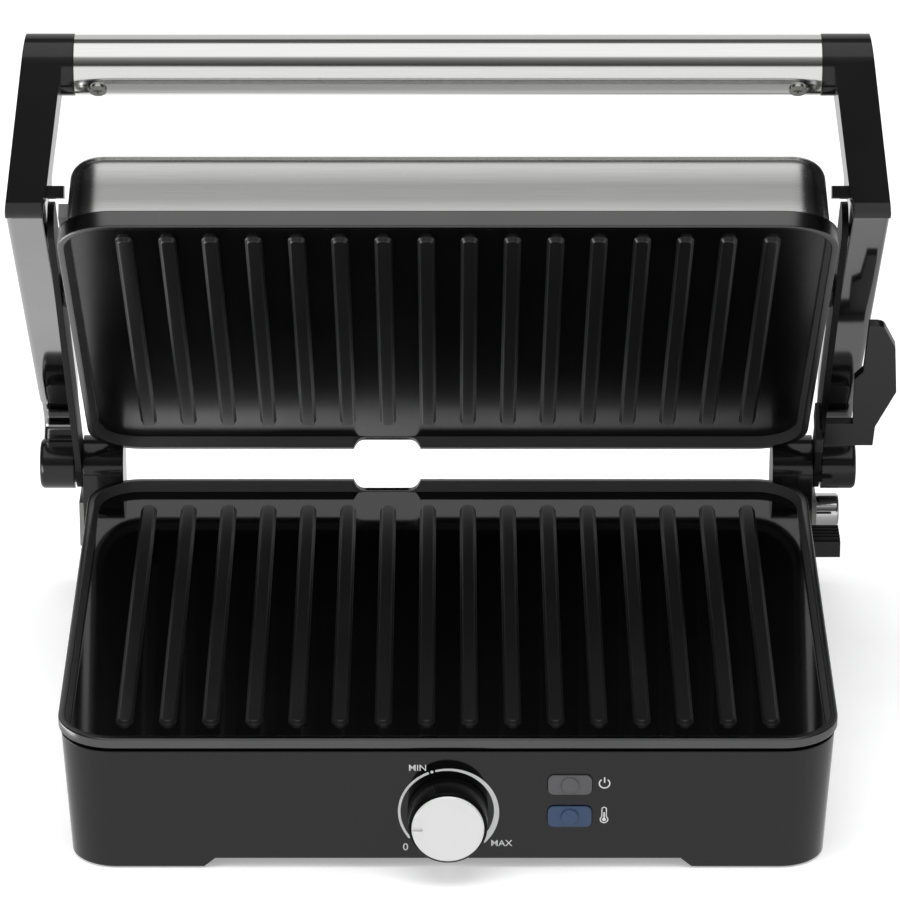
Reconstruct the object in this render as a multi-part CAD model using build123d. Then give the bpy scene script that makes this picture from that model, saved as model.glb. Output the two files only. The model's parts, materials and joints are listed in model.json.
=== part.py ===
from build123d import *
import math
import os

os.makedirs("parts", exist_ok=True)

# Driving dimensions, in millimetres and degrees.
# Origin on the table under the middle of the plates; X to the right, Y to the back, Z up.

# Grill plates
plate_width = 300.0
plate_depth = 239.0
plate_corner = 22.0
rim_top = 58.0
rim_band = 4.3
rim_lip = 3.0
rim_slope = 42.0
plate_body_inset = 5.7
plate_height = 11.5
gutter_depth = 8.7
gutter_side = 9.1
gutter_end = 6.6
field_rise = 1.7
field_corner = 10.0

# Ribs of the plates
rib_count = 16
rib_side_margin = 9.5
rib_end_margin = 6.0
rib_base = 6.3
rib_below_rim = 2.5
rib_draft = 13.0

# Drain spout at the hinge side of both plates
spout_x = -25.5
spout_clear = 24.0
spout_bevel = 2.0
spout_wall = 2.4
spout_depth = 5.0
spout_floor_thickness = 1.8
spout_corner = 4.0
spout_reach = 3.0
spout_wall_drop = 1.5
spout_ramp_run = 12.0
spout_gap_clearance = 0.4

# Hinge and opening
hinge_set_back = 11.0
closed_rim_gap = 4.0
open_angle = 45.0

# Base housing
housing_drop = 5.9
housing_inset = 1.0
housing_draft = 3.5
housing_wall = 2.4
housing_bottom = 0.8
skirt_length = 59.3
side_skirt_length = 52.5
arch_rise = 3.7
arch_step = 4.3
post_side_inset = 28.0
post_end_inset = 27.5
post_radius = 5.0
post_height = 11.5
shoulder_radius = 8.0
gusset_width = 4.0
gusset_length = 30.0
gusset_height = 23.0

# Underside
cover_low = 5.2
cover_thickness = 2.0
cover_clearance = 0.4
vent_count = 9
vent_pitch = 9.0
vent_length = 26.0
vent_width = 3.0
vent_row_y = 42.0
vent_row_x = 45.0
foot_radius = 9.0
foot_tip_radius = 7.5
foot_side_inset = 28.0
foot_end_inset = 49.5
screw_head_radius = 3.4
screw_head_height = 1.6
screw_shank_radius = 1.7
screw_pilot_depth = 12.0
screw_end_gap = 1.0
screw_slot = 0.8

# Heating elements and reflectors
heater_radius = 3.2
heater_gap = 0.2
heater_side_inset = 46.0
heater_front_inset = 41.5
heater_back_inset = 35.5
heater_inner = 34.0
heater_leg = 40.0
heater_bend = 14.0
reflector_inset = 16.0
reflector_corner = 12.0
reflector_wall = 0.8
reflector_gap = 0.3
post_hole_clearance = 0.4

# Thermostat, knob and lamps
knob_z = 25.4
knob_radius = 15.5
knob_length = 12.6
knob_draft = 2.0
knob_gap = 0.5
knob_edge = 1.2
knob_cap_rim = 1.6
knob_cap_recess = 1.4
knob_cap_thickness = 2.3
knob_cap_edge = 0.9
knob_cap_fit = 0.04
pointer_length = 4.2
pointer_width = 1.5
pointer_depth = 0.8
shaft_radius = 3.0
shaft_fit = 0.03
shaft_in_knob = 9.0
shaft_hole_radius = 4.0
thermostat_radius = 9.0
thermostat_depth = 20.0
thermostat_bore = 10.0
thermostat_nose_fit = 0.05
lamp_x = 46.75
lamp_width = 16.8
power_lamp_z = 37.7
heat_lamp_z = 23.6
power_lamp_height = 8.2
heat_lamp_height = 8.8
lamp_corner = 2.4
lamp_proud = 0.7
lamp_fit = 0.08
lamp_dome_radius = 3.6
lamp_dome_height = 0.7
lamp_dome_draft = 30.0
lamp_holder_margin = 3.6
lamp_holder_depth = 8.0
neon_radius = 2.6
neon_length = 9.0

# Mains parts at the back
gland_inset = 65.0
gland_z = 22.0
gland_flange_radius = 9.0
gland_flange = 3.0
gland_flange_edge = 1.5
gland_neck_radius = 6.5
gland_neck_fit = 0.05
gland_neck_length = 9.0
gland_bore = 3.6
terminal_width = 34.0
terminal_depth = 14.0
terminal_height = 12.0
terminal_inset = 35.5
terminal_ways = 3
terminal_pitch = 10.0
terminal_screw_radius = 2.4
terminal_well = 6.0
fuse_radius = 3.0
fuse_length = 26.0
fuse_cap_radius = 3.5
fuse_cap_length = 4.0
fuse_spacing = 45.0
fuse_tray_gap = 6.5
fuse_clip_height = 6.0

# Drip tray
tray_width = 96.0
tray_length = 64.0
tray_overhang = 15.0
tray_low = 7.5
tray_height = 15.5
tray_wall = 1.8
tray_corner = 6.0
tray_clearance = 0.5

# Hinge stack, measured outward from the plate's edge
strap_gap = 3.6
strap_thickness = 2.6
arm_gap = 0.8
arm_thickness = 14.5
hinge_pin_radius = 4.0
hinge_pin_depth = 9.6
hinge_cap_gap = 0.3
hinge_cap_edge = 2.0
hinge_cap_boss_radius = 8.0
running_fit = 0.05
press_fit = 0.02
pin_end_gap = 0.5
knuckle_thickness = 16.9
knuckle_radius = 12.0
knuckle_gap = 0.4
knuckle_reach = 12.3
knuckle_foot_z = 8.0
root_forward = 26.0
root_thickness = 10.0
root_drop = 16.0
plate_relief = 0.7
hinge_plate_thickness = 2.0
hinge_plate_drop = 13.0
hinge_plate_height = 20.0
hinge_plate_setback = 0.8

# Release buttons
button_drop = 21.5
button_radius = 7.0
button_length = 19.0
button_proud = 11.9
button_edge = 1.4
button_travel = 4.0
button_fit = 0.08
button_bore_end_gap = 1.0
slider_drop = 15.1
slider_height = 7.0
slider_setback = 33.0
slider_length = 16.7
slider_proud = 13.2
slider_wall_gap = 0.6
slider_neck_length = 8.0
slider_neck_height = 3.4
slider_travel = 4.0
slider_clearance = 0.4
slider_keeper = 3.0
slider_keeper_gap = 3.8
slider_keeper_margin = 3.0
slider_rib_count = 5
slider_rib_pitch = 3.0
slider_rib_width = 1.4
slider_rib_height = 0.7
upper_button_setback = 20.0
upper_button_length = 11.0
upper_button_lift = 5.3
upper_button_height = 6.0
upper_button_recess = 0.2
upper_button_depth = 11.8
upper_button_clearance = 0.35

# Arms, in the closed position, measured forward of the hinge axis and up from it
arm_rise = 0.3
arm_lift = 30.3
arm_half_height = 10.5
arm_edge = 3.0
heel_start = 17.5
heel_drop = 1.6
heel_inset = 0.8
heel_edge = 2.0
heel_round = 14.0
neck_set_back = 0.5
neck_back = 9.0
neck_round = 3.5
strap_boss_radius = 5.0
kink_setback = 20.0
mitre_low = 5.0
mitre_high = 20.0
plug_reach = 10.4
plug_depth = 3.0
plug_proud = 0.25
plug_fit = 0.05
plug_corner = 3.0
plug_setback = 2.0
plug_length = 19.2
strap_rise = 8.2
strap_half_width = 8.0
strap_ring_radius = 10.0
strap_short = 23.0
strap_boss_inset = 10.0

# Handle and its leaning brackets
grip_angle = 69.0
grip_depth = 24.2
grip_lean = 6.45
grip_thickness = 15.7
grip_foot = 4.0
grip_step_top = 9.0
grip_step = 1.8
bend_outer = 7.0
bend_inner = 5.0
handle_radius = 11.75
handle_wall = 1.2
handle_along = 58.2
handle_end_inset = 5.2
handle_spigot = 5.3
socket_fit = 0.04
tab_low = 5.8
tab_high = 10.7
tab_reach = 7.7
tab_root = 1.0
tab_set_back = 1.0
tab_depth = 8.0
handle_screw_inset = 9.2
handle_screw_sink = 0.7
handle_screw_tip = 1.0
handle_screw_angle = 79.0

# Lid
skirt_thickness = 1.0
frame_inset = 1.2
frame_height = 2.6
frame_opening_gap = 0.5
dome_inset = 3.3
dome_corner = 15.0
dome_height = 26.6
dome_crown = 4.0
dome_draft = 4.0
dome_edge = 8.0
dome_wall = 1.0
dome_inner_chamfer = 5.0
pivot_ahead = 11.5
pivot_up = 20.5
pivot_pin_radius = 3.0
pivot_pin_depth = 6.0
pivot_block_length = 15.0
pivot_block_height = 11.0
pivot_block_corner = 4.0
pivot_block_root = 10.0
pivot_block_gap = 0.4

# Lever under the right arm: distances outward from the arm's inner face and along from the pin
lever_along = 46.9
lever_thickness = 3.0
lever_drop = 14.0
lever_edge = 0.8
lever_eye_radius = 2.75
lever_foot_inner = -1.9
lever_foot_outer = 18.4
lever_foot_length = 17.5
lever_neck_inner = 9.0
lever_neck_length = 15.2
lever_knee_outer = 25.1
lever_knee_length = 44.0
lever_step_inner = 7.4
lever_step_length = 54.0
lever_blade_inner = 10.6
lever_blade_length = 60.5
lever_shoulder_outer = 22.3
lever_shoulder_length = 79.5
lever_tip_outer = 16.2
lever_length = 97.5
lever_shoulder_round = 10.0
lever_tip_round = 4.0
lever_knee_round = 4.0
lever_boss_radius = 5.5
lever_boss_reach = 5.2
lever_side_gap = 0.4
lever_tab_height = 14.0
lever_pin_radius = 1.5
lever_pin_inset = 0.6
lever_pin_depth = 15.0

# Overlap that carries a cut clear of the face it opens
cut_over = 1.0

# Derived values
hinge_y = plate_depth / 2 + hinge_set_back
hinge_z = rim_top + closed_rim_gap / 2
hinge_axis = Axis((0, hinge_y, hinge_z), (1, 0, 0))
mirror_plane = Plane.XY.offset(hinge_z)
strap_inner = plate_width / 2 + strap_gap
strap_outer = strap_inner + strap_thickness
arm_inner = strap_outer + arm_gap
arm_outer = arm_inner + arm_thickness
knuckle_outer = strap_inner - knuckle_gap
knuckle_inner = knuckle_outer - knuckle_thickness
rim_low = rim_top - rim_band
plate_bottom = rim_top - plate_height
gutter_floor = rim_top - gutter_depth
field_top = gutter_floor + field_rise
spout_floor = rim_top - spout_depth
body_width = plate_width - 2 * plate_body_inset
body_depth = plate_depth - 2 * plate_body_inset
body_corner = plate_corner - plate_body_inset
housing_top = rim_top - housing_drop
housing_width = plate_width - 2 * housing_inset
housing_depth = plate_depth - 2 * housing_inset
housing_corner = plate_corner - housing_inset
housing_slope = math.tan(math.radians(housing_draft))
post_x = plate_width / 2 - post_side_inset
post_y = plate_depth / 2 - post_end_inset
shoulder_top = plate_bottom - post_height
foot_x = plate_width / 2 - foot_side_inset
foot_y = plate_depth / 2 - foot_end_inset
cover_top = cover_low + cover_thickness
spout_outer_half = spout_clear / 2 + spout_bevel + spout_wall
button_z = hinge_z - button_drop


def save(node, shape):
    export_step(shape, "parts/" + node + ".step")


def opened(shape):
    return shape.rotate(hinge_axis, -open_angle)


def mirrored(shape):
    return mirror(shape, about=Plane.YZ)


def rounded_block(width, depth, corner, low, high):
    return extrude(Pos(0, 0, low) * RectangleRounded(width, depth, corner), amount=high - low)


def slab(face, low_x, high_x):
    return extrude(Plane.YZ.offset(low_x) * face, amount=high_x - low_x)


def box_between(low, high):
    centre = [(a + b) / 2 for a, b in zip(low, high)]
    size = [b - a for a, b in zip(low, high)]
    return Pos(*centre) * Box(*size)


def rod(radius, low_x, high_x, y, z):
    return slab(Pos(y, z) * Circle(radius), low_x, high_x)


def closed_point(forward, up):
    return (hinge_y - forward, hinge_z + up)


def panel_y(z):
    return -(housing_depth / 2 - (housing_top - z) * housing_slope)


def front_disc(radius, x, z, face_y, length, taper=0.0):
    return extrude(Plane.XZ.offset(-face_y) * Pos(x, z) * Circle(radius), amount=length, taper=taper)


def pocket_width(size):
    return size - 2 * rim_lip - 2 * rim_band * math.tan(math.radians(rim_slope))


def edge_block(inset, low, high):
    return rounded_block(plate_width - 2 * inset, plate_depth - 2 * inset, plate_corner - inset, low, high)


def edge_ring(outer_inset, inner_inset, low, high):
    return edge_block(outer_inset, low, high) - edge_block(inner_inset, low, high)


# Grill plate with a sloped rim, a gutter round a raised field, ribs and a drain spout
def grill_plate(skirt_height):
    rim = rounded_block(plate_width, plate_depth, plate_corner, rim_low, rim_top)
    if skirt_height > 0:
        rim = rim + edge_ring(0, skirt_thickness, rim_low - skirt_height, rim_low)
    body = rounded_block(body_width, body_depth, body_corner, plate_bottom, rim_low)
    mouth = Pos(0, 0, rim_top) * RectangleRounded(
        plate_width - 2 * rim_lip, plate_depth - 2 * rim_lip, plate_corner - rim_lip
    )
    slope = extrude(mouth, amount=-rim_band, taper=rim_slope)
    well_corner = plate_corner - (plate_width - pocket_width(plate_width)) / 2
    well = rounded_block(
        pocket_width(plate_width), pocket_width(plate_depth), well_corner, gutter_floor, rim_low
    )
    field_width = pocket_width(plate_width) - 2 * gutter_side
    field_depth = pocket_width(plate_depth) - 2 * gutter_end
    field = rounded_block(field_width, field_depth, field_corner, gutter_floor, field_top)
    rib_pitch = (field_width - 2 * rib_side_margin) / (rib_count - 1)
    rib_profile = SlotOverall(field_depth - 2 * rib_end_margin, rib_base, rotation=90)
    rib = extrude(rib_profile, amount=rim_top - rib_below_rim - field_top, taper=rib_draft)
    first_rib = -(rib_count - 1) * rib_pitch / 2
    ribs = [Pos(first_rib + i * rib_pitch, 0, field_top) * rib for i in range(rib_count)]
    plate = rim + body - slope - well + field
    plate = plate + ribs

    rear = plate_depth / 2
    ramp_front = pocket_width(plate_depth) / 2 - spout_ramp_run
    spout = box_between(
        (spout_x - spout_outer_half, rear - rim_lip, spout_floor - spout_floor_thickness),
        (spout_x + spout_outer_half, rear + spout_reach, rim_top - spout_wall_drop),
    )
    ramp = slab(
        make_face(
            Polyline(
                (ramp_front, gutter_floor),
                (body_depth / 2, gutter_floor),
                (body_depth / 2, spout_floor - spout_floor_thickness),
                (rear, spout_floor - spout_floor_thickness),
                (rear, spout_floor),
                (rear - rim_lip, spout_floor),
                (ramp_front, field_top),
                close=True,
            )
        ),
        spout_x - spout_clear / 2,
        spout_x + spout_clear / 2,
    )
    trench_top = spout_clear / 2 + spout_bevel
    trench_face = make_face(
        Polyline(
            (spout_x - spout_clear / 2, spout_floor),
            (spout_x + spout_clear / 2, spout_floor),
            (spout_x + trench_top, rim_top),
            (spout_x + trench_top, hinge_z),
            (spout_x - trench_top, hinge_z),
            (spout_x - trench_top, rim_top),
            close=True,
        )
    )
    floor_corners = trench_face.vertices().sort_by(Axis.Y)[:2]
    trench_face = fillet(floor_corners, spout_corner)
    trench_start = pocket_width(plate_depth) / 2
    trench = extrude(
        Plane.XZ.offset(-trench_start) * trench_face,
        amount=-(rear + spout_reach + cut_over - trench_start),
    )
    return plate + spout + ramp - trench


# Sheathed tubular heating element bent in one loop with two legs at the back
def heating_element():
    z = plate_bottom - heater_gap - heater_radius
    half_width = plate_width / 2 - heater_side_inset
    front = heater_front_inset - plate_depth / 2
    back = plate_depth / 2 - heater_back_inset
    path = FilletPolyline(
        (-heater_inner, back, z),
        (-heater_inner, back - heater_leg, z),
        (-half_width, back - heater_leg, z),
        (-half_width, front, z),
        (half_width, front, z),
        (half_width, back - heater_leg, z),
        (heater_inner, back - heater_leg, z),
        (heater_inner, back, z),
        radius=heater_bend,
    )
    start = Plane(origin=path @ 0, z_dir=path % 0)
    return sweep(start * Circle(heater_radius), path=path)


def heat_reflector():
    high = plate_bottom - reflector_gap
    width = plate_width - 2 * reflector_inset
    depth = plate_depth - 2 * reflector_inset
    outer = rounded_block(width, depth, reflector_corner, shoulder_top, high)
    inner = rounded_block(
        width - 2 * reflector_wall,
        depth - 2 * reflector_wall,
        reflector_corner - reflector_wall,
        shoulder_top + reflector_wall,
        high,
    )
    tray = outer - inner
    for x in (-post_x, post_x):
        for y in (-post_y, post_y):
            tray = tray - Pos(x, y, shoulder_top) * Cylinder(post_radius + post_hole_clearance, high)
    return tray


# Tapered housing with an arched skirt, posts for the plate and gussets in the corners
def housing_form(inset, low):
    return extrude(
        Pos(0, 0, housing_top)
        * RectangleRounded(housing_width - 2 * inset, housing_depth - 2 * inset, housing_corner - inset),
        amount=-(housing_top - low),
        taper=housing_draft,
    )


def arch_face(half):
    top = housing_bottom + arch_rise
    return make_face(
        Polyline(
            (-half - arch_step, housing_bottom - cut_over),
            (-half - arch_step, housing_bottom),
            (-half, top),
            (half, top),
            (half + arch_step, housing_bottom),
            (half + arch_step, housing_bottom - cut_over),
            close=True,
        )
    )


outer_form = housing_form(0, housing_bottom)
housing = outer_form - housing_form(housing_wall, housing_bottom)
posts = []
for x_sign in (-1, 1):
    for y_sign in (-1, 1):
        centre = Pos(x_sign * post_x, y_sign * post_y, 0)
        shoulder = centre * Pos(0, 0, cover_top) * Cylinder(
            shoulder_radius, shoulder_top - cover_top, align=(Align.CENTER, Align.CENTER, Align.MIN)
        )
        post = centre * Pos(0, 0, shoulder_top) * Cylinder(
            post_radius, plate_bottom - shoulder_top, align=(Align.CENTER, Align.CENTER, Align.MIN)
        )
        gusset = centre * Rot(0, 0, math.degrees(math.atan2(y_sign, x_sign))) * Pos(
            gusset_length / 2, 0, shoulder_top - gusset_height / 2
        ) * Box(gusset_length, gusset_width, gusset_height)
        pilot = centre * Pos(0, 0, cover_top) * Cylinder(
            screw_shank_radius, screw_pilot_depth, align=(Align.CENTER, Align.CENTER, Align.MIN)
        )
        posts.append(shoulder + post + (gusset & outer_form) - pilot)
for post in posts:
    housing = housing + post
arch = extrude(Plane.XZ * arch_face(housing_width / 2 - skirt_length), amount=plate_depth, both=True)
side_arch = extrude(
    Plane.YZ * arch_face(housing_depth / 2 - side_skirt_length), amount=plate_width, both=True
)
housing = housing - arch - side_arch

# Openings in the housing walls
shaft_hole = front_disc(shaft_hole_radius, 0, knob_z, -plate_depth / 4, plate_depth / 2)
housing = housing - shaft_hole
lamp_rows = ((power_lamp_z, power_lamp_height), (heat_lamp_z, heat_lamp_height))
for lamp_z, lamp_height in lamp_rows:
    window = Pos(lamp_x, lamp_z) * RectangleRounded(
        lamp_width + 2 * lamp_fit, lamp_height + 2 * lamp_fit, lamp_corner + lamp_fit
    )
    housing = housing - extrude(Plane.XZ.offset(plate_depth / 4) * window, amount=plate_depth / 2)
gland_x = plate_width / 2 - gland_inset
gland_hole = front_disc(gland_neck_radius + gland_neck_fit, gland_x, gland_z, plate_depth, plate_depth)
housing = housing - gland_hole
tray_front = hinge_y - tray_length + tray_overhang - hinge_set_back
tray_back = tray_front + tray_length
tray_x = spout_x
tray_slot = box_between(
    (tray_x - tray_width / 2 - tray_clearance, plate_depth / 4, tray_low - tray_clearance),
    (tray_x + tray_width / 2 + tray_clearance, plate_depth, tray_low + tray_height + tray_clearance),
)
housing = housing - tray_slot
spout_half = spout_outer_half + spout_gap_clearance
spout_gap = box_between(
    (spout_x - spout_half, plate_depth / 4, spout_floor - spout_floor_thickness - spout_gap_clearance),
    (spout_x + spout_half, plate_depth, housing_top + cut_over),
)
housing = housing - spout_gap
slider_low = housing_top - slider_drop
slider_front = plate_depth / 2 - slider_setback
slider_slot = box_between(
    (
        body_width / 4,
        slider_front + (slider_length - slider_neck_length) / 2 - slider_clearance,
        slider_low + (slider_height - slider_neck_height) / 2 - slider_clearance,
    ),
    (
        plate_width,
        slider_front + (slider_length + slider_neck_length) / 2 + slider_travel + slider_clearance,
        slider_low + (slider_height + slider_neck_height) / 2 + slider_clearance,
    ),
)
housing = housing - slider_slot
save("base_housing", housing)

# Bottom cover with vents
cover_inset = housing_wall + cover_clearance
cover_blank = housing_form(cover_inset, cover_low) & box_between(
    (-plate_width, -plate_depth, cover_low), (plate_width, plate_depth, cover_top)
)
vent = Rectangle(vent_width, vent_length)
for row_x in (-vent_row_x, vent_row_x):
    for row_y in (-vent_row_y, vent_row_y):
        for i in range(vent_count):
            x = row_x + (i - (vent_count - 1) / 2) * vent_pitch
            cover_blank = cover_blank - extrude(Pos(x, row_y, cover_low) * vent, amount=cover_thickness)
for x in (-post_x, post_x):
    for y in (-post_y, post_y):
        cover_blank = cover_blank - Pos(x, y, cover_low) * Cylinder(
            screw_shank_radius + running_fit, 2 * cover_thickness + 2 * cut_over
        )
save("bottom_cover", cover_blank)

foot_taper = math.degrees(math.atan((foot_radius - foot_tip_radius) / cover_low))
foot = extrude(Pos(0, 0, cover_low) * Circle(foot_radius), amount=-cover_low, taper=foot_taper)
feet = [Pos(x, y, 0) * foot for x in (-foot_x, foot_x) for y in (-foot_y, foot_y)]
save("rubber_feet", Compound(children=feet))

screw = Pos(0, 0, cover_low - screw_head_height) * Cylinder(
    screw_head_radius, screw_head_height, align=(Align.CENTER, Align.CENTER, Align.MIN)
)
screw = screw + Pos(0, 0, cover_low) * Cylinder(
    screw_shank_radius - press_fit,
    cover_thickness + screw_pilot_depth - screw_end_gap,
    align=(Align.CENTER, Align.CENTER, Align.MIN),
)
for turn in (0, 90):
    screw = screw - Pos(0, 0, cover_low - screw_head_height) * Rot(0, 0, turn) * Box(
        screw_head_radius, screw_slot, screw_head_height
    )
base_screws = [Pos(x, y, 0) * screw for x in (-post_x, post_x) for y in (-post_y, post_y)]
save("base_screws", Compound(children=base_screws))

save("lower_grill_plate", grill_plate(0))
lower_heater = heating_element()
save("lower_heating_element", lower_heater)
lower_reflector = heat_reflector()
save("lower_heat_reflector", lower_reflector)

# Thermostat behind the panel, with its shaft carrying the knob
knob_back = panel_y(knob_z + knob_radius) - knob_gap
body_face = panel_y(knob_z - thermostat_radius) + housing_wall + running_fit
thermostat = front_disc(thermostat_radius, 0, knob_z, body_face + thermostat_depth, thermostat_depth)
nose_length = body_face - knob_back - knob_gap / 2
nose = front_disc(shaft_hole_radius - thermostat_nose_fit, 0, knob_z, body_face, nose_length)
bore_back = body_face + thermostat_bore
bore = front_disc(shaft_radius + running_fit, 0, knob_z, bore_back, thermostat_bore + nose_length + cut_over)
save("thermostat_body", thermostat + nose - bore)

shaft_back = bore_back - pin_end_gap
shaft_length = shaft_back - knob_back + shaft_in_knob
save("thermostat_shaft", front_disc(shaft_radius, 0, knob_z, shaft_back, shaft_length))

knob = front_disc(knob_radius, 0, knob_z, knob_back, knob_length, knob_draft)
knob_front = knob_back - knob_length
front_rim = knob.edges().filter_by(GeomType.CIRCLE).sort_by(Axis.Y)[0]
knob = fillet(front_rim, knob_edge)
cap_radius = knob_radius - knob_cap_rim
cap_back = knob_front + knob_cap_recess
knob = knob - front_disc(cap_radius + knob_cap_fit, 0, knob_z, cap_back, knob_cap_recess + cut_over)
knob = knob - front_disc(shaft_radius + shaft_fit, 0, knob_z, knob_back, shaft_in_knob + running_fit)
save("temperature_knob", knob)

cap = front_disc(cap_radius, 0, knob_z, cap_back, knob_cap_thickness)
cap_rim = cap.edges().filter_by(GeomType.CIRCLE).sort_by(Axis.Y)[0]
cap = fillet(cap_rim, knob_cap_edge)
cap_front = cap_back - knob_cap_thickness
pointer = box_between(
    (-cap_radius, cap_front - cut_over, knob_z - pointer_width / 2),
    (-cap_radius + pointer_length, cap_front + pointer_depth, knob_z + pointer_width / 2),
)
save("knob_cap", cap - pointer)

# Lamp lenses on one holder
holder_front = panel_y(heat_lamp_z - heat_lamp_height) + housing_wall + running_fit


def lamp_lens(lamp_z, lamp_height):
    face = Pos(lamp_x, lamp_z) * RectangleRounded(lamp_width, lamp_height, lamp_corner)
    front = panel_y(lamp_z + lamp_height / 2) - lamp_proud
    lens = extrude(Plane.XZ.offset(-holder_front) * face, amount=holder_front - front)
    dome = front_disc(lamp_dome_radius, lamp_x, lamp_z, front, lamp_dome_height, lamp_dome_draft)
    return lens + dome


save("power_lamp_lens", lamp_lens(power_lamp_z, power_lamp_height))
save("heat_lamp_lens", lamp_lens(heat_lamp_z, heat_lamp_height))

holder_half = lamp_width / 2 + lamp_holder_margin
holder_low = heat_lamp_z - heat_lamp_height / 2 - lamp_holder_margin
holder_high = power_lamp_z + power_lamp_height / 2 + lamp_holder_margin
holder = box_between(
    (lamp_x - holder_half, holder_front, holder_low),
    (lamp_x + holder_half, holder_front + lamp_holder_depth, holder_high),
)
neons = []
neon_back = holder_front + neon_length
for lamp_z, lamp_height in lamp_rows:
    seat_length = neon_length + cut_over
    holder = holder - front_disc(neon_radius + running_fit, lamp_x, lamp_z, neon_back, seat_length)
    neons.append(front_disc(neon_radius, lamp_x, lamp_z, neon_back, neon_length - running_fit))
save("lamp_holder", holder)
save("neon_lamps", Compound(children=neons))

# Cord gland, terminal block and thermal fuse
gland_wall = -panel_y(gland_z + gland_flange_radius)
gland_flange_back = gland_wall + running_fit + gland_flange
gland = front_disc(gland_flange_radius, gland_x, gland_z, gland_flange_back, gland_flange)
gland_rim = gland.edges().filter_by(GeomType.CIRCLE).sort_by(Axis.Y)[-1]
gland = fillet(gland_rim, gland_flange_edge)
gland = gland + front_disc(gland_neck_radius, gland_x, gland_z, gland_wall + running_fit, gland_neck_length)
gland = gland - front_disc(gland_bore, gland_x, gland_z, plate_depth, plate_depth)
save("cord_gland", gland)

terminal_y = plate_depth / 2 - terminal_inset
terminal = box_between(
    (gland_x - terminal_width / 2, terminal_y - terminal_depth / 2, cover_top),
    (gland_x + terminal_width / 2, terminal_y + terminal_depth / 2, cover_top + terminal_height),
)
for i in range(terminal_ways):
    x = gland_x + (i - (terminal_ways - 1) / 2) * terminal_pitch
    mouth = Pos(x, terminal_y, cover_top + terminal_height)
    terminal = terminal - mouth * Cylinder(terminal_screw_radius, 2 * terminal_well)
save("terminal_block", terminal)

fuse_x = gland_x - fuse_spacing
fuse_y = tray_front - fuse_tray_gap
fuse_z = cover_top + fuse_clip_height
fuse = rod(fuse_radius, fuse_x - fuse_length / 2, fuse_x + fuse_length / 2, fuse_y, fuse_z)
for end in (-1, 1):
    end_x = fuse_x + end * (fuse_length - fuse_cap_length) / 2
    cap_low = end_x - fuse_cap_length / 2
    cap_high = end_x + fuse_cap_length / 2
    fuse = fuse + rod(fuse_cap_radius, cap_low, cap_high, fuse_y, fuse_z)
    fuse = fuse + box_between(
        (cap_low, fuse_y - fuse_radius, cover_top), (cap_high, fuse_y + fuse_radius, fuse_z)
    )
save("thermal_fuse", fuse)

# Drip tray under the spout
tray_outer = Pos(tray_x, (tray_front + tray_back) / 2, 0) * rounded_block(
    tray_width, tray_length, tray_corner, tray_low, tray_low + tray_height
)
tray_inner = Pos(tray_x, (tray_front + tray_back) / 2, 0) * rounded_block(
    tray_width - 2 * tray_wall,
    tray_length - 2 * tray_wall,
    tray_corner - tray_wall,
    tray_low + tray_wall,
    tray_low + tray_height,
)
save("drip_tray", tray_outer - tray_inner)

# Hinge bracket behind each rear corner
plate_relief_form = rounded_block(
    plate_width + 2 * plate_relief,
    plate_depth + 2 * plate_relief,
    plate_corner + plate_relief,
    rim_low - plate_relief,
    hinge_z + knuckle_radius,
)
tower_face = Pos(hinge_y, hinge_z) * Circle(knuckle_radius)
tower_face = tower_face + Pos(hinge_y, (knuckle_foot_z + hinge_z) / 2) * Rectangle(
    2 * knuckle_reach, hinge_z - knuckle_foot_z
)
tower = slab(tower_face, knuckle_inner, knuckle_outer)
root = box_between(
    (knuckle_inner, hinge_y - root_forward, knuckle_foot_z),
    (knuckle_inner + root_thickness, hinge_y + knuckle_reach, hinge_z - root_drop),
)
pin_low = knuckle_inner + pin_end_gap
bracket = tower + root - outer_form - plate_relief_form
bracket = bracket - rod(hinge_pin_radius + press_fit, pin_low, knuckle_outer + cut_over, hinge_y, hinge_z)
plate_front = hinge_y - knuckle_reach + hinge_plate_setback
plate_rear = hinge_y + knuckle_reach - hinge_plate_setback
hinge_plate_top = hinge_z - hinge_plate_drop
hinge_plate = box_between(
    (knuckle_outer, plate_front, hinge_plate_top - hinge_plate_height),
    (knuckle_outer + hinge_plate_thickness, plate_rear, hinge_plate_top),
)
button_outer = knuckle_outer + button_proud
button_bore_end = button_outer - button_length - button_travel - button_bore_end_gap
button_bore = rod(button_radius + button_fit, button_bore_end, arm_inner, hinge_y, button_z)
save("right_hinge_bracket", bracket - button_bore)
save("left_hinge_bracket", mirrored(bracket))
save("right_hinge_plate", hinge_plate - button_bore)
save("left_hinge_plate", mirrored(hinge_plate))

pin_high = arm_inner + hinge_pin_depth
hinge_pin = rod(hinge_pin_radius, pin_low, pin_high, hinge_y, hinge_z)
save("right_hinge_pin", hinge_pin)
save("left_hinge_pin", mirrored(hinge_pin))

release = rod(button_radius, button_outer - button_length, button_outer, hinge_y, button_z)
release = fillet(release.edges().filter_by(GeomType.CIRCLE).sort_by(Axis.X)[-1], button_edge)
save("hinge_release_button", release)

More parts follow.
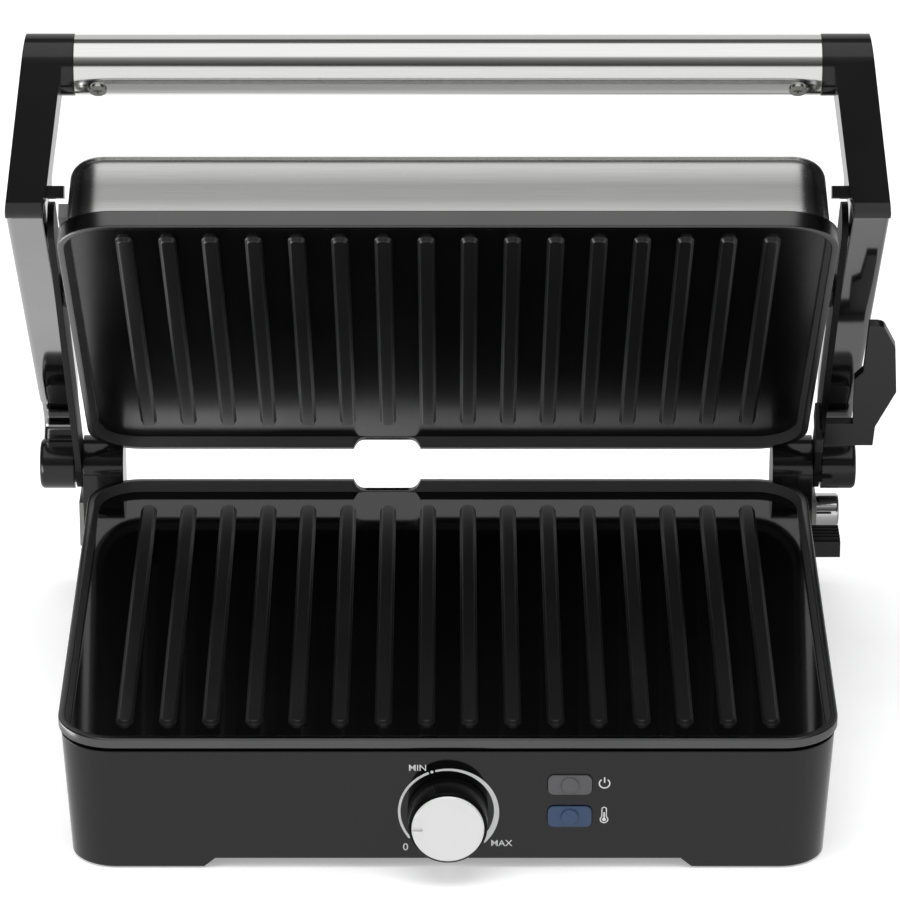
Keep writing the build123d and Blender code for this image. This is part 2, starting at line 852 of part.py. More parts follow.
# Slider that frees the lower plate
slider_wall = -panel_y(slider_low + slider_height) + (housing_width - housing_depth) / 2 + slider_wall_gap
slider_outer = plate_width / 2 + slider_proud
slider_mid_y = slider_front + slider_length / 2
slider_mid_z = slider_low + slider_height / 2
slider = box_between(
    (slider_wall, slider_front, slider_low),
    (slider_outer, slider_front + slider_length, slider_low + slider_height),
)
slider_keeper_outer = slider_wall - slider_wall_gap - housing_wall - slider_keeper_gap
slider_keeper_inner = slider_keeper_outer - slider_keeper
neck_y = slider_neck_length / 2
neck_z = slider_neck_height / 2
slider = slider + box_between(
    (slider_keeper_inner, slider_mid_y - neck_y, slider_mid_z - neck_z),
    (slider_wall, slider_mid_y + neck_y, slider_mid_z + neck_z),
)
slider = slider + box_between(
    (
        slider_keeper_inner,
        slider_mid_y - neck_y - slider_keeper_margin,
        slider_mid_z - neck_z - slider_keeper_margin,
    ),
    (
        slider_keeper_outer,
        slider_mid_y + neck_y + slider_keeper_margin,
        slider_mid_z + neck_z + slider_keeper_margin,
    ),
)
for i in range(slider_rib_count):
    y = slider_mid_y + (i - (slider_rib_count - 1) / 2) * slider_rib_pitch
    slider = slider + box_between(
        (slider_wall, y - slider_rib_width / 2, slider_low + slider_height),
        (slider_outer, y + slider_rib_width / 2, slider_low + slider_height + slider_rib_height),
    )
save("lower_release_slider", slider)

# Arms in the closed position: silver cover, flat strap, bent handle bracket
rise = math.radians(arm_rise)
strap_slope = math.radians(strap_rise)
grip = math.radians(grip_angle)
bend = grip - rise
kink_forward = plate_depth - kink_setback
kink_up = arm_lift - arm_half_height / math.cos(rise) + kink_forward * math.tan(rise)
kink_along = (kink_forward - arm_half_height * math.sin(rise)) / math.cos(rise)
strap_end = kink_forward - strap_short


def rail_point(slope, lift, along, across):
    forward = along * math.cos(slope) - across * math.sin(slope)
    up = lift + along * math.sin(slope) + across * math.cos(slope)
    return closed_point(forward, up)


def arm_point(along, across):
    return rail_point(rise, arm_lift, along, across)


def strap_point(along, across):
    return rail_point(strap_slope, 0, along, across)


def grip_point(along, back):
    forward = kink_forward + along * math.cos(grip) - back * math.sin(grip)
    up = kink_up + along * math.sin(grip) + back * math.cos(grip)
    return closed_point(forward, up)


def strap_block(low, high, bottom, top):
    places = ((low, bottom), (high, bottom), (high, top), (low, top))
    return make_face(Polyline(*[strap_point(along, across) for along, across in places], close=True))


def corner_of(face, point):
    return face.vertices().sort_by_distance((point[0], point[1], 0))[0]


pivot_y, pivot_z = closed_point(hinge_y + pivot_ahead, pivot_up)
cover_end_low = (kink_along - mitre_low, -arm_half_height)
cover_end_high = (kink_along - mitre_high, arm_half_height)
bar_low = arm_point(heel_start, -arm_half_height)
bar_high = arm_point(heel_start, arm_half_height)
bar_face = make_face(
    Polyline(bar_low, arm_point(*cover_end_low), arm_point(*cover_end_high), bar_high, close=True)
)
arm_bar = slab(bar_face, arm_inner, arm_outer)
bar_edges = arm_bar.faces().sort_by(Axis.X)[-1].edges()
arm_bar = fillet(bar_edges.sort_by(SortBy.LENGTH)[-2:], arm_edge)

# Heel of the arm, turned down over the hinge cap by a neck
heel_top = arm_point(-neck_back, arm_half_height)
neck_top = closed_point(-neck_set_back, arm_lift - arm_half_height - heel_drop)
heel_face = make_face(
    Polyline(
        bar_low,
        bar_high,
        heel_top,
        closed_point(-neck_back, 0),
        closed_point(-neck_set_back, 0),
        neck_top,
        close=True,
    )
)
heel_face = fillet(corner_of(heel_face, heel_top), heel_round)
heel_face = fillet(corner_of(heel_face, neck_top), neck_round)
heel = slab(heel_face, arm_inner, arm_outer - heel_inset)
heel_lines = heel.faces().sort_by(Axis.X)[-1].edges().filter_by(GeomType.LINE)
heel = fillet(heel_lines.sort_by(Axis.Y)[1:].sort_by(Axis.Z)[1:], heel_edge)
arm_cover = arm_bar + heel
arm_cover = arm_cover - rod(arm_half_height + hinge_cap_gap, arm_inner, arm_outer, hinge_y, hinge_z)
boss_y, boss_z = strap_point(strap_end - strap_boss_inset, 0)
arm_cover = arm_cover + rod(strap_boss_radius, strap_outer, arm_inner, boss_y, boss_z)

# Black plug let into the underside of each arm
underside = Plane(
    origin=(0, *arm_point(0, -arm_half_height)),
    x_dir=(1, 0, 0),
    z_dir=(0, -math.sin(rise), -math.cos(rise)),
)


plug_low = heel_start + plug_setback
plug_high = plug_low + plug_length


def plug_outline(fit):
    outer_corner = (arm_inner + plug_reach - fit, plug_high - fit)
    face = make_face(
        Polyline(
            (arm_inner, plug_low + fit),
            (arm_inner + plug_reach - fit, plug_low + fit),
            outer_corner,
            (arm_inner, plug_high - fit),
            close=True,
        )
    )
    return fillet(corner_of(face, outer_corner), plug_corner)


arm_cover = arm_cover - extrude(underside * plug_outline(0), amount=-plug_depth)
plug_face = underside * plug_outline(plug_fit)
plug = extrude(plug_face, amount=-plug_depth) + extrude(plug_face, amount=plug_proud)

# Round cap over the end of each hinge pin
hinge_cap = rod(arm_half_height, arm_inner, arm_outer, hinge_y, hinge_z)
cap_outer_edge = hinge_cap.edges().filter_by(GeomType.CIRCLE).sort_by(Axis.X)[-1]
hinge_cap = fillet(cap_outer_edge, hinge_cap_edge)
hinge_cap = hinge_cap + rod(hinge_cap_boss_radius, strap_outer, arm_inner, hinge_y, hinge_z)
hinge_cap = hinge_cap - rod(
    hinge_pin_radius + running_fit, strap_outer, pin_high + pin_end_gap, hinge_y, hinge_z
)

strap_face = strap_block(0, strap_end, -strap_half_width, strap_half_width)
strap_face = strap_face + Pos(hinge_y, hinge_z) * Circle(strap_ring_radius)
strap_face = strap_face + Pos(*strap_point(strap_end, 0)) * Circle(strap_half_width)
strap = slab(strap_face, strap_inner, strap_outer)
for hole_radius, hole_y, hole_z in (
    (hinge_pin_radius + running_fit, hinge_y, hinge_z),
    (pivot_pin_radius + press_fit, pivot_y, pivot_z),
):
    strap = strap - rod(hole_radius, strap_inner - cut_over, strap_outer + cut_over, hole_y, hole_z)

# Bracket from the arm's mitred end up to the round handle end
inner_step = 2 * arm_half_height * math.tan(bend / 2)
inner_corner = grip_point(inner_step, 2 * arm_half_height)
bracket_side = make_face(
    Polyline(
        arm_point(*cover_end_low),
        grip_point(0, 0),
        grip_point(handle_along, 0),
        grip_point(handle_along, grip_depth),
        inner_corner,
        arm_point(*cover_end_high),
        close=True,
    )
)
bracket_side = fillet(corner_of(bracket_side, grip_point(0, 0)), bend_outer)
bracket_side = fillet(corner_of(bracket_side, inner_corner), bend_inner)
tube_y, tube_z = grip_point(handle_along, grip_depth / 2)
bracket_side = bracket_side + Pos(tube_y, tube_z) * Circle(grip_depth / 2)
kink_y, kink_z = grip_point(0, 0)
grip_plane = Plane(
    origin=(0, kink_y, kink_z),
    x_dir=(1, 0, 0),
    z_dir=(0, -math.sin(grip), -math.cos(grip)),
)
grip_top = handle_along + grip_depth / 2
grip_outer = arm_outer - grip_top * math.tan(math.radians(grip_lean))
grip_inner = grip_outer - grip_thickness
arm_reach = -kink_along
front_face = make_face(
    Polyline(
        (arm_inner, arm_reach),
        (arm_outer, arm_reach),
        (arm_outer, 0),
        (grip_outer, grip_top),
        (grip_inner, grip_top),
        (arm_inner - grip_step, grip_step_top),
        (arm_inner, grip_foot),
        close=True,
    )
)
grip_form = slab(bracket_side, grip_inner, arm_outer)
handle_bracket = grip_form & extrude(grip_plane * front_face, amount=kink_along, both=True)
tube_end = plate_width / 2 - handle_end_inset
tab_outer = arm_inner - grip_step + tab_root
tab = extrude(
    grip_plane
    * Pos(tab_outer - tab_reach / 2, (tab_low + tab_high) / 2, -tab_set_back)
    * Rectangle(tab_reach, tab_high - tab_low),
    amount=-tab_depth,
)
handle_bracket = handle_bracket + tab
handle_bracket = handle_bracket + rod(
    grip_depth / 2, tube_end, (grip_inner + grip_outer) / 2, tube_y, tube_z
)
handle_bracket = handle_bracket + rod(
    handle_radius - handle_wall - socket_fit, tube_end - handle_spigot, tube_end, tube_y, tube_z
)
pivot_pin = rod(pivot_pin_radius, knuckle_outer - pivot_pin_depth, strap_outer, pivot_y, pivot_z)

for side, shape in (
    ("arm_cover", arm_cover),
    ("arm_plugs", plug),
    ("hinge_cap", hinge_cap),
    ("arm_strap", strap),
    ("handle_bracket", handle_bracket),
    ("lid_pivot_pin", pivot_pin),
):
    save("right_" + side, opened(shape))
    save("left_" + side, opened(mirrored(shape)))

tube = rod(handle_radius, -tube_end, tube_end, tube_y, tube_z)
tube = tube - rod(handle_radius - handle_wall, -tube_end, tube_end, tube_y, tube_z)
screw_lean = math.radians(handle_screw_angle)
screw_plane = Plane(
    origin=(0, tube_y, tube_z), x_dir=(1, 0, 0), z_dir=(0, -math.cos(screw_lean), -math.sin(screw_lean))
)
handle_screws = []
for x in (handle_screw_inset - tube_end, tube_end - handle_screw_inset):
    seat = screw_plane * Pos(x, 0, handle_radius - handle_screw_sink)
    head = seat * Cylinder(
        screw_head_radius, screw_head_height, align=(Align.CENTER, Align.CENTER, Align.MIN)
    )
    shank = seat * Cylinder(
        screw_shank_radius, handle_wall + handle_screw_tip, align=(Align.CENTER, Align.CENTER, Align.MAX)
    )
    whole = head + shank
    tube = tube - whole
    for turn in (0, 90):
        whole = whole - seat * Pos(0, 0, screw_head_height) * Rot(0, 0, turn) * Box(
            screw_head_radius, screw_slot, screw_head_height
        )
    handle_screws.append(whole)
save("handle_tube", opened(tube))
save("handle_screws", opened(Compound(children=handle_screws)))

# Lever under the right arm, on a pin held by a tab of the strap
lever_across = lever_eye_radius - lever_drop - lever_thickness
lever_y, lever_z = strap_point(lever_along, lever_across)
lever_inner = arm_inner + lever_foot_inner
lever_outer = arm_inner + lever_foot_outer
boss_outer = lever_inner - lever_side_gap
boss_inner = arm_inner - lever_boss_reach
tab_face = strap_block(
    lever_along - lever_boss_radius,
    lever_along + lever_boss_radius,
    lever_across,
    lever_across + lever_tab_height,
)
lever_bracket = rod(lever_boss_radius, boss_inner, boss_outer, lever_y, lever_z)
lever_bracket = lever_bracket + slab(tab_face, boss_inner, strap_inner)
lever_pin_low = boss_inner + lever_pin_inset
lever_pin_high = lever_inner + lever_pin_depth
lever_bracket = lever_bracket - rod(
    lever_pin_radius + press_fit, lever_pin_low, boss_outer + cut_over, lever_y, lever_z
)
save("lever_bracket", opened(lever_bracket))
save("lever_pin", opened(rod(lever_pin_radius, lever_pin_low, lever_pin_high, lever_y, lever_z)))

lever_plane = Plane(
    origin=(arm_inner, *strap_point(lever_along, -lever_drop)),
    x_dir=(1, 0, 0),
    z_dir=(0, -math.sin(strap_slope), -math.cos(strap_slope)),
)
lever_shoulder = (lever_shoulder_outer, lever_shoulder_length)
lever_knee = (lever_knee_outer, lever_knee_length)
lever_outline = make_face(
    Polyline(
        (lever_foot_inner, 0),
        (lever_foot_outer, 0),
        (lever_foot_outer, lever_neck_length),
        lever_knee,
        lever_shoulder,
        (lever_tip_outer, lever_length),
        (lever_blade_inner, lever_length),
        (lever_blade_inner, lever_blade_length),
        (lever_step_inner, lever_step_length),
        (lever_neck_inner, lever_foot_length),
        (lever_foot_inner, lever_foot_length),
        close=True,
    )
)
lever_outline = fillet(corner_of(lever_outline, lever_shoulder), lever_shoulder_round)
lever_outline = fillet(corner_of(lever_outline, (lever_tip_outer, lever_length)), lever_tip_round)
lever_outline = fillet(corner_of(lever_outline, lever_knee), lever_knee_round)
lever = extrude(lever_plane * lever_outline, amount=lever_thickness)
lever = fillet(lever.faces().sort_by(Axis.Z)[0].edges(), lever_edge)
lever = lever + rod(lever_eye_radius, lever_inner, lever_outer, lever_y, lever_z)
lever = lever - rod(
    lever_pin_radius + running_fit,
    lever_inner - cut_over,
    lever_pin_high + pin_end_gap,
    lever_y,
    lever_z,
)
save("hinge_release_lever", opened(lever))

# Lid: mirrored plate, frame, domed cover and pivot blocks
frame_low = 2 * hinge_z - rim_low
frame_high = frame_low + frame_height
save("upper_grill_plate", opened(mirror(grill_plate(frame_height), about=mirror_plane)))
save("upper_heating_element", opened(mirror(lower_heater, about=mirror_plane)))
save("upper_heat_reflector", opened(mirror(lower_reflector, about=mirror_plane)))
lid_frame = edge_ring(frame_inset, plate_body_inset - frame_opening_gap, frame_low, frame_high)
lid_frame = lid_frame - box_between(
    (spout_x - spout_half, plate_depth / 4, frame_low),
    (spout_x + spout_half, plate_depth, frame_high),
)


def dome_form(inset):
    width = plate_width - 2 * dome_inset - 2 * inset
    depth = plate_depth - 2 * dome_inset - 2 * inset
    height = dome_height - inset
    blank = extrude(
        Pos(0, 0, frame_high) * RectangleRounded(width, depth, dome_corner - inset),
        amount=height + 2 * dome_crown,
        taper=dome_draft,
    )
    crown_radius = ((depth / 2) ** 2 + dome_crown**2) / (2 * dome_crown)
    crown_z = frame_high + height + dome_crown - crown_radius
    return blank & rod(crown_radius, -plate_width, plate_width, 0, crown_z)


def top_edges(blank):
    return blank.faces().sort_by(Axis.Z)[-1].edges()


dome_blank = dome_form(0)
dome_outer = fillet(top_edges(dome_blank), dome_edge)
dome_inner = dome_form(dome_wall)
dome_inner = chamfer(top_edges(dome_inner), dome_inner_chamfer)
lid_cover = dome_outer - dome_inner
upper_button_y = upper_button_setback - plate_depth / 2
upper_button_low = frame_high + upper_button_lift
upper_button_outer = plate_width / 2 - upper_button_recess
upper_button = box_between(
    (-upper_button_outer, upper_button_y, upper_button_low),
    (
        upper_button_depth - upper_button_outer,
        upper_button_y + upper_button_length,
        upper_button_low + upper_button_height,
    ),
)
button_window = box_between(
    (
        -plate_width,
        upper_button_y - upper_button_clearance,
        upper_button_low - upper_button_clearance,
    ),
    (
        -plate_width / 4,
        upper_button_y + upper_button_length + upper_button_clearance,
        upper_button_low + upper_button_height + upper_button_clearance,
    ),
)
save("lid_frame", opened(lid_frame))
save("lid_cover", opened(lid_cover - button_window))
save("upper_release_button", opened(upper_button))

block_outer = strap_inner - pivot_block_gap
block_outline = RectangleRounded(pivot_block_length, pivot_block_height, pivot_block_corner)
block_face = Pos(pivot_y, pivot_z) * block_outline
pivot_block = slab(block_face, plate_width / 2 - pivot_block_root, block_outer) - dome_outer
pivot_block = pivot_block - rod(
    pivot_pin_radius + running_fit,
    knuckle_outer - pivot_pin_depth - pin_end_gap,
    block_outer + cut_over,
    pivot_y,
    pivot_z,
)
save("right_pivot_block", opened(pivot_block))
save("left_pivot_block", opened(mirrored(pivot_block)))
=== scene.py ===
import json
import math

import bmesh
import bpy
from mathutils import Matrix, Vector


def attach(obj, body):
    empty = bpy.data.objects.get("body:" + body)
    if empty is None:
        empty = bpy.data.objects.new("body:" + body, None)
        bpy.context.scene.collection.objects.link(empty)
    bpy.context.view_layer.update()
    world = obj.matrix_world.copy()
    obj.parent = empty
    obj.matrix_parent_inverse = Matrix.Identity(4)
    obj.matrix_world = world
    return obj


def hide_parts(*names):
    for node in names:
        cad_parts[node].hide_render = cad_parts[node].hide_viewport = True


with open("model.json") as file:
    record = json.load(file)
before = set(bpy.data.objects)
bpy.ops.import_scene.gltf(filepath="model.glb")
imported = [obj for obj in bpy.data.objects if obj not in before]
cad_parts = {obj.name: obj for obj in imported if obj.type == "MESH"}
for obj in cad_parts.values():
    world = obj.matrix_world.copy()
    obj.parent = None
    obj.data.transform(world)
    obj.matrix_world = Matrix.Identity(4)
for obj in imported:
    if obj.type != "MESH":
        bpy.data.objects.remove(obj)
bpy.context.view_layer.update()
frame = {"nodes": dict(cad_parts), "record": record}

mm = 0.001
nodes = frame["nodes"]
scene = bpy.context.scene
scene.view_settings.view_transform = "Standard"
print("stage: frame loaded")


def linear(hexColour):
    values = []
    for start in (1, 3, 5):
        part = int(hexColour[start:start + 2], 16) / 255
        values.append(part / 12.92 if part <= 0.04045 else ((part + 0.055) / 1.055) ** 2.4)
    return (values[0], values[1], values[2], 1.0)


def grey(level):
    return (level, level, level, 1.0)


# Adds a node with its settings and links; stops are the points of a colour ramp
def addNode(tree, kind, settings=None, links=None, stops=()):
    node = tree.nodes.new(kind)
    for key, value in (settings or {}).items():
        if isinstance(key, int) or key in node.inputs:
            node.inputs[key].default_value = value
        else:
            setattr(node, key, value)
    for key, source in (links or {}).items():
        tree.links.new(source, node.inputs[key])
    if stops:
        elements = node.color_ramp.elements
        while len(elements) < len(stops):
            elements.new(0.5)
        for element, (place, colour) in zip(elements, stops):
            element.position = place
            element.color = colour
    return node


noiseSpan = (0.3, 0.7)  # most of a noise's values lie between these
# what a finish has where it names nothing else
plainFinish = {
    "stretch": (1, 1, 1), "cloudMm": 40, "grainTint": 0.4, "bump": 0.3, "bumpMm": 0.02, "edgeMm": 0.4,
    "metal": 0.0, "ior": 1.5, "shader": {},
}


# One surface recipe: cloudy tint, grain in roughness and relief, rounded edge normals
def makeMaterial(name, finish):
    look = {**plainFinish, **finish}
    material = bpy.data.materials.new(name)
    material.use_nodes = True
    tree = material.node_tree
    tree.nodes.clear()
    coords = addNode(tree, "ShaderNodeTexCoord").outputs["Object"]
    stretched = addNode(
        tree, "ShaderNodeMapping", {"Scale": look["stretch"]}, {"Vector": coords}
    ).outputs["Vector"]
    grain = addNode(
        tree, "ShaderNodeTexNoise",
        {"Scale": 1 / (look["grainMm"] * mm), "Detail": 3.0, "Roughness": 0.6},
        {"Vector": stretched},
    ).outputs["Fac"]
    cloud = addNode(
        tree, "ShaderNodeTexNoise", {"Scale": 1 / (look["cloudMm"] * mm), "Detail": 3.0},
        {"Vector": coords},
    ).outputs["Fac"]
    blend = addNode(
        tree, "ShaderNodeMix", {"data_type": "FLOAT", 0: look["grainTint"]}, {2: cloud, 3: grain}
    ).outputs[0]
    tint = addNode(
        tree, "ShaderNodeValToRGB", links={"Fac": blend},
        stops=[(place, linear(colour)) for place, colour in zip(noiseSpan, look["colours"])],
    ).outputs["Color"]
    rough = addNode(
        tree, "ShaderNodeMapRange",
        {"From Min": noiseSpan[0], "From Max": noiseSpan[1],
         "To Min": look["rough"][0], "To Max": look["rough"][1]},
        {"Value": blend},
    ).outputs["Result"]
    edge = addNode(
        tree, "ShaderNodeBevel", {"samples": 4, "Radius": look["edgeMm"] * mm}
    ).outputs["Normal"]
    relief = addNode(
        tree, "ShaderNodeBump",
        {"Strength": look["bump"], "Distance": look["bumpMm"] * mm},
        {"Height": grain, "Normal": edge},
    ).outputs["Normal"]
    # painted reflection: a grey ramp along one axis multiplies the colour into lighter and darker bands
    if "paintedReflectionBands" in look:
        along = addNode(
            tree, "ShaderNodeVectorMath", {"operation": "DOT_PRODUCT", 1: look["axis"]}, {0: coords}
        ).outputs["Value"]
        span = addNode(
            tree, "ShaderNodeMapRange",
            {"From Min": look["spanMm"][0] * mm, "From Max": look["spanMm"][1] * mm}, {"Value": along},
        ).outputs["Result"]
        paintedReflection = addNode(
            tree, "ShaderNodeValToRGB", links={"Fac": span},
            stops=[(place, grey(level)) for place, level in look["paintedReflectionBands"]],
        ).outputs["Color"]
        tint = addNode(
            tree, "ShaderNodeMix", {"data_type": "RGBA", "blend_type": "MULTIPLY", 0: 1.0}, {6: tint, 7: paintedReflection}
        ).outputs[2]
    settings = {"Metallic": look["metal"], "IOR": look["ior"], **look["shader"]}
    shader = addNode(
        tree, "ShaderNodeBsdfPrincipled", settings,
        {"Base Color": tint, "Roughness": rough, "Normal": relief},
    )
    addNode(tree, "ShaderNodeOutputMaterial", links={"Surface": shader.outputs["BSDF"]})
    return material


# Each finish: what it is, and what that gives the eye
looks = {
    # polished charcoal ABS of the base, moulded: near black with clear reflections
    "charcoalAbs": {"colours": ("#0a0a0b", "#0e0e0f"), "rough": (0.05, 0.08), "grainMm": 1.2, "bump": 0.02,
                    "edgeMm": 0.8},
    # gloss black ABS of the handle brackets, knuckles and hinge caps: deep black with sharp lights
    "glossBlackAbs": {"colours": ("#121212", "#181818"), "rough": (0.08, 0.12), "grainMm": 1.4,
                      "bump": 0.03, "edgeMm": 0.9},
    # satin black nylon of the lever and small mouldings: broad, soft lights
    "satinBlackNylon": {"colours": ("#0c0c0c", "#131313"), "rough": (0.3, 0.38), "grainMm": 0.4,
                        "bump": 0.2, "edgeMm": 0.5},
    # black stoved paint on the steel arm straps: dead black, with hardly a light on it
    "blackStovedPaint": {"colours": ("#030303", "#060606"), "rough": (0.42, 0.52), "grainMm": 0.5,
                         "bump": 0.1, "shader": {"Specular IOR Level": 0.2}},
    # black non-stick coating on cast aluminium, smooth: a dim mirror
    "nonStickCoating": {"colours": ("#060607", "#0a0a0b"), "rough": (0.05, 0.08), "grainMm": 0.6,
                        "bump": 0.02, "edgeMm": 0.5},
    # the same coating left matt on the rims' inner walls, coloured an even dark grey as a painted reflection
    "mattPaintedReflectionWall": {"colours": ("#383839", "#3f3f40"), "rough": (0.6, 0.7), "grainMm": 0.5, "bump": 0.04,
                     "edgeMm": 0.3},
    # the same coating worn to a satin on the ribs, its colour lifted above the plate's black as painted
    # sheen: a soft light along each
    "satinRibPaintedSheen": {"colours": ("#161617", "#1d1d1e"), "rough": (0.28, 0.34), "grainMm": 0.5,
                      "bump": 0.06, "edgeMm": 0.5},
    # the same coating with a sprayed grain on the lid's plate: a blurred mirror
    "sprayedNonStick": {"colours": ("#060607", "#0a0a0b"), "rough": (0.18, 0.24), "grainMm": 0.5,
                        "bump": 0.04},
    # grey metallic coating on the rims of the plates and the lid frame: an edge that catches light
    "rimCoating": {"colours": ("#606061", "#686869"), "rough": (0.22, 0.28), "grainMm": 0.5, "bump": 0.05,
                   "edgeMm": 0.6, "metal": 1.0},
    # stainless sheet of the lid cover, brushed from side to side: fine streaks, and a painted reflection that
    # makes the wall brighter at its edges and darker across its middle; the streaks are drawn coarser than
    # real ones, which would not show
    "brushedStainlessSheet": {"colours": ("#c3c3c2", "#cfcfce"), "rough": (0.2, 0.28), "grainMm": 0.35,
                              "axis": (0, 0.70711, 0.70711), "spanMm": (143.6, 164.2),
                              "paintedReflectionBands": ((0.0, 1.0), (0.3, 0.62), (0.6, 0.58), (0.95, 1.0)),
                              "stretch": (0.012, 1, 1), "grainTint": 0.8, "bump": 0.15, "bumpMm": 0.01,
                              "edgeMm": 0.6, "metal": 1.0},
    # brushed stainless tube of the handle: long bright lines; its streaks are drawn coarse too
    "brushedStainlessTube": {"colours": ("#ebebe9", "#f4f4f2"), "rough": (0.08, 0.12), "grainMm": 0.3,
                             "stretch": (0.01, 1, 1), "grainTint": 0.8, "bump": 0.1, "bumpMm": 0.006,
                             "metal": 1.0},
    # silver lacquer on the die-cast arms: smooth grey that mirrors its surroundings
    "silverLacquer": {"colours": ("#999999", "#a3a3a3"), "rough": (0.05, 0.08), "grainMm": 0.25,
                      "bump": 0.03, "edgeMm": 0.8, "metal": 1.0},
    # pressed steel of the hinge plates: grey with upright streaks
    "pressedSteel": {"colours": ("#8d8d8c", "#9d9d9c"), "rough": (0.3, 0.4), "grainMm": 0.4,
                     "stretch": (1, 1, 0.05), "bump": 0.2, "metal": 0.9},
    # zinc plate on screws and pins: pale and softly bright
    "zincPlate": {"colours": ("#b4b4af", "#c6c6c1"), "rough": (0.18, 0.28), "grainMm": 0.5, "bump": 0.1,
                  "edgeMm": 0.2, "metal": 1.0},
    # bright chrome on the hinge button: a clear mirror
    "brightChrome": {"colours": ("#dcdcdc", "#e4e4e4"), "rough": (0.04, 0.07), "grainMm": 1.5, "bump": 0.02,
                     "edgeMm": 0.6, "metal": 1.0},
    # satin silver cap of the knob: pale and nearly even
    "spunSilverCap": {"colours": ("#dedede", "#e8e8e8"), "rough": (0.3, 0.4), "grainMm": 0.3, "bump": 0.05,
                      "metal": 0.3},
    # dark moulded skirt of the knob: near black, with little shine
    "knobSkirt": {"colours": ("#08080a", "#0d0d0e"), "rough": (0.2, 0.28), "grainMm": 0.4, "bump": 0.05,
                  "shader": {"Specular IOR Level": 0.08}},
    # grey moulded nylon of the lid's release button: plain, nearly matt
    "greyNylon": {"colours": ("#525252", "#5c5c5c"), "rough": (0.38, 0.48), "grainMm": 0.4},
    # black rubber of feet and gland: dull, with no clear light
    "blackRubber": {"colours": ("#121212", "#1a1a1a"), "rough": (0.65, 0.8), "grainMm": 0.5, "bump": 0.4},
    # metal sheath of the heating elements: dull grey
    "elementSheath": {"colours": ("#4b4b4a", "#5a5957"), "rough": (0.4, 0.55), "grainMm": 0.6, "bump": 0.4,
                      "metal": 0.8},
    # aluminised sheet of the reflectors: bright, with a blurred shine
    "aluminisedSheet": {"colours": ("#c6c6c4", "#d4d4d2"), "rough": (0.22, 0.34), "grainMm": 1.2,
                        "bump": 0.2, "metal": 1.0},
    # phenolic resin of the thermostat and lamp holder: brown-black, nearly matt
    "phenolicResin": {"colours": ("#1c130e", "#261a13"), "rough": (0.4, 0.5), "grainMm": 0.5},
    # white melamine of the terminal block: off-white, nearly matt
    "whiteMelamine": {"colours": ("#d9d8d0", "#e4e3dc"), "rough": (0.35, 0.45), "grainMm": 0.6, "bump": 0.2},
    # smoky clear plastic of a lamp lens: grey, with sharp lights
    "clearLens": {"colours": ("#505052", "#5a5a5c"), "rough": (0.1, 0.16), "grainMm": 0.8, "bump": 0.1},
    # blue plastic of a lamp lens: a muted blue, with sharp lights
    "blueLens": {"colours": ("#2c405f", "#34496b"), "rough": (0.1, 0.16), "grainMm": 0.8, "bump": 0.1},
    # glass of the neon lamps: warm and partly clear
    "neonGlass": {"colours": ("#d8b79a", "#e2c4a8"), "rough": (0.05, 0.1), "grainMm": 1.0, "bump": 0.05,
                  "shader": {"Transmission Weight": 0.7}},
    # white pad print: flat and pale
    "padPrint": {"colours": ("#d9d9d9", "#e4e4e4"), "rough": (0.45, 0.55), "grainMm": 0.2, "bump": 0.1,
                 "edgeMm": 0.05},
}
materials = {name: makeMaterial(name, look) for name, look in looks.items()}

slotLooks = {
    "dark_plastic": "charcoalAbs", "rubber": "blackRubber", "zinc": "zincPlate",
    "nonstick": "nonStickCoating", "element_sheath": "elementSheath", "bright_sheet": "aluminisedSheet",
    "clear_lens": "clearLens", "blue_lens": "blueLens", "neon_glass": "neonGlass",
    "terminal_plastic": "whiteMelamine", "gloss_black": "glossBlackAbs", "hinge_steel": "pressedSteel",
    "silver_arm": "silverLacquer", "black_steel": "blackStovedPaint", "brushed_tube": "brushedStainlessTube",
    "satin_black": "satinBlackNylon", "grey_frame": "rimCoating", "brushed_cover": "brushedStainlessSheet",
    "knob_grey": "knobSkirt", "silver_cap": "spunSilverCap", "grey_button": "greyNylon",
    "chrome_button": "brightChrome",
}
nodeLooks = {"thermostat_body": "phenolicResin", "lamp_holder": "phenolicResin"}
for part in frame["record"]["subparts"]:
    look = nodeLooks.get(part["node"]) or slotLooks[part["material_slot"]]
    slots = nodes[part["node"]].data.materials
    slots.clear()
    slots.append(materials[look])
print("stage: materials on the carried nodes")


def addPiece(name, mesh, body, look, slot, *otherLooks):
    piece = bpy.data.objects.new(name, mesh)
    scene.collection.objects.link(piece)
    # drops the slots that a node tree leaves on a mesh
    if len(mesh.materials) > 0:
        mesh.materials.clear()
    for each in (look, *otherLooks):
        mesh.materials.append(materials[each])
    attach(piece, body)
    return piece


sharpDegrees = 40


def smooth(mesh):
    mesh.shade_smooth()
    mesh.set_sharp_from_angle(angle=math.radians(sharpDegrees))


# Joins rings of equal length into a skin with flat caps
def loft(name, rings):
    shell = bmesh.new()
    rows = [[shell.verts.new(point) for point in ring] for ring in rings]
    count = len(rows[0])
    for low, high in zip(rows, rows[1:]):
        for i in range(count):
            shell.faces.new((low[i], low[(i + 1) % count], high[(i + 1) % count], high[i]))
    shell.faces.new(list(reversed(rows[0])))
    shell.faces.new(rows[-1])
    mesh = bpy.data.meshes.new(name)
    shell.to_mesh(mesh)
    shell.free()
    return mesh


# Rounds the corners of an open profile given as (inset, height, radius)
def roundedProfile(points, steps=5):
    result = []
    for i, (inset, height, radius) in enumerate(points):
        here = Vector((inset, height))
        if radius == 0 or i in (0, len(points) - 1):
            result.append(here)
            continue
        before = (Vector(points[i - 1][:2]) - here).normalized()
        after = (Vector(points[i + 1][:2]) - here).normalized()
        angle = before.angle(after)
        reach = radius / math.tan(angle / 2)
        centre = here + (before + after).normalized() * (radius / math.sin(angle / 2))
        start = here + before * reach - centre
        end = here + after * reach - centre
        for step in range(steps + 1):
            result.append(centre + start.slerp(end, step / steps).normalized() * radius)
    return result


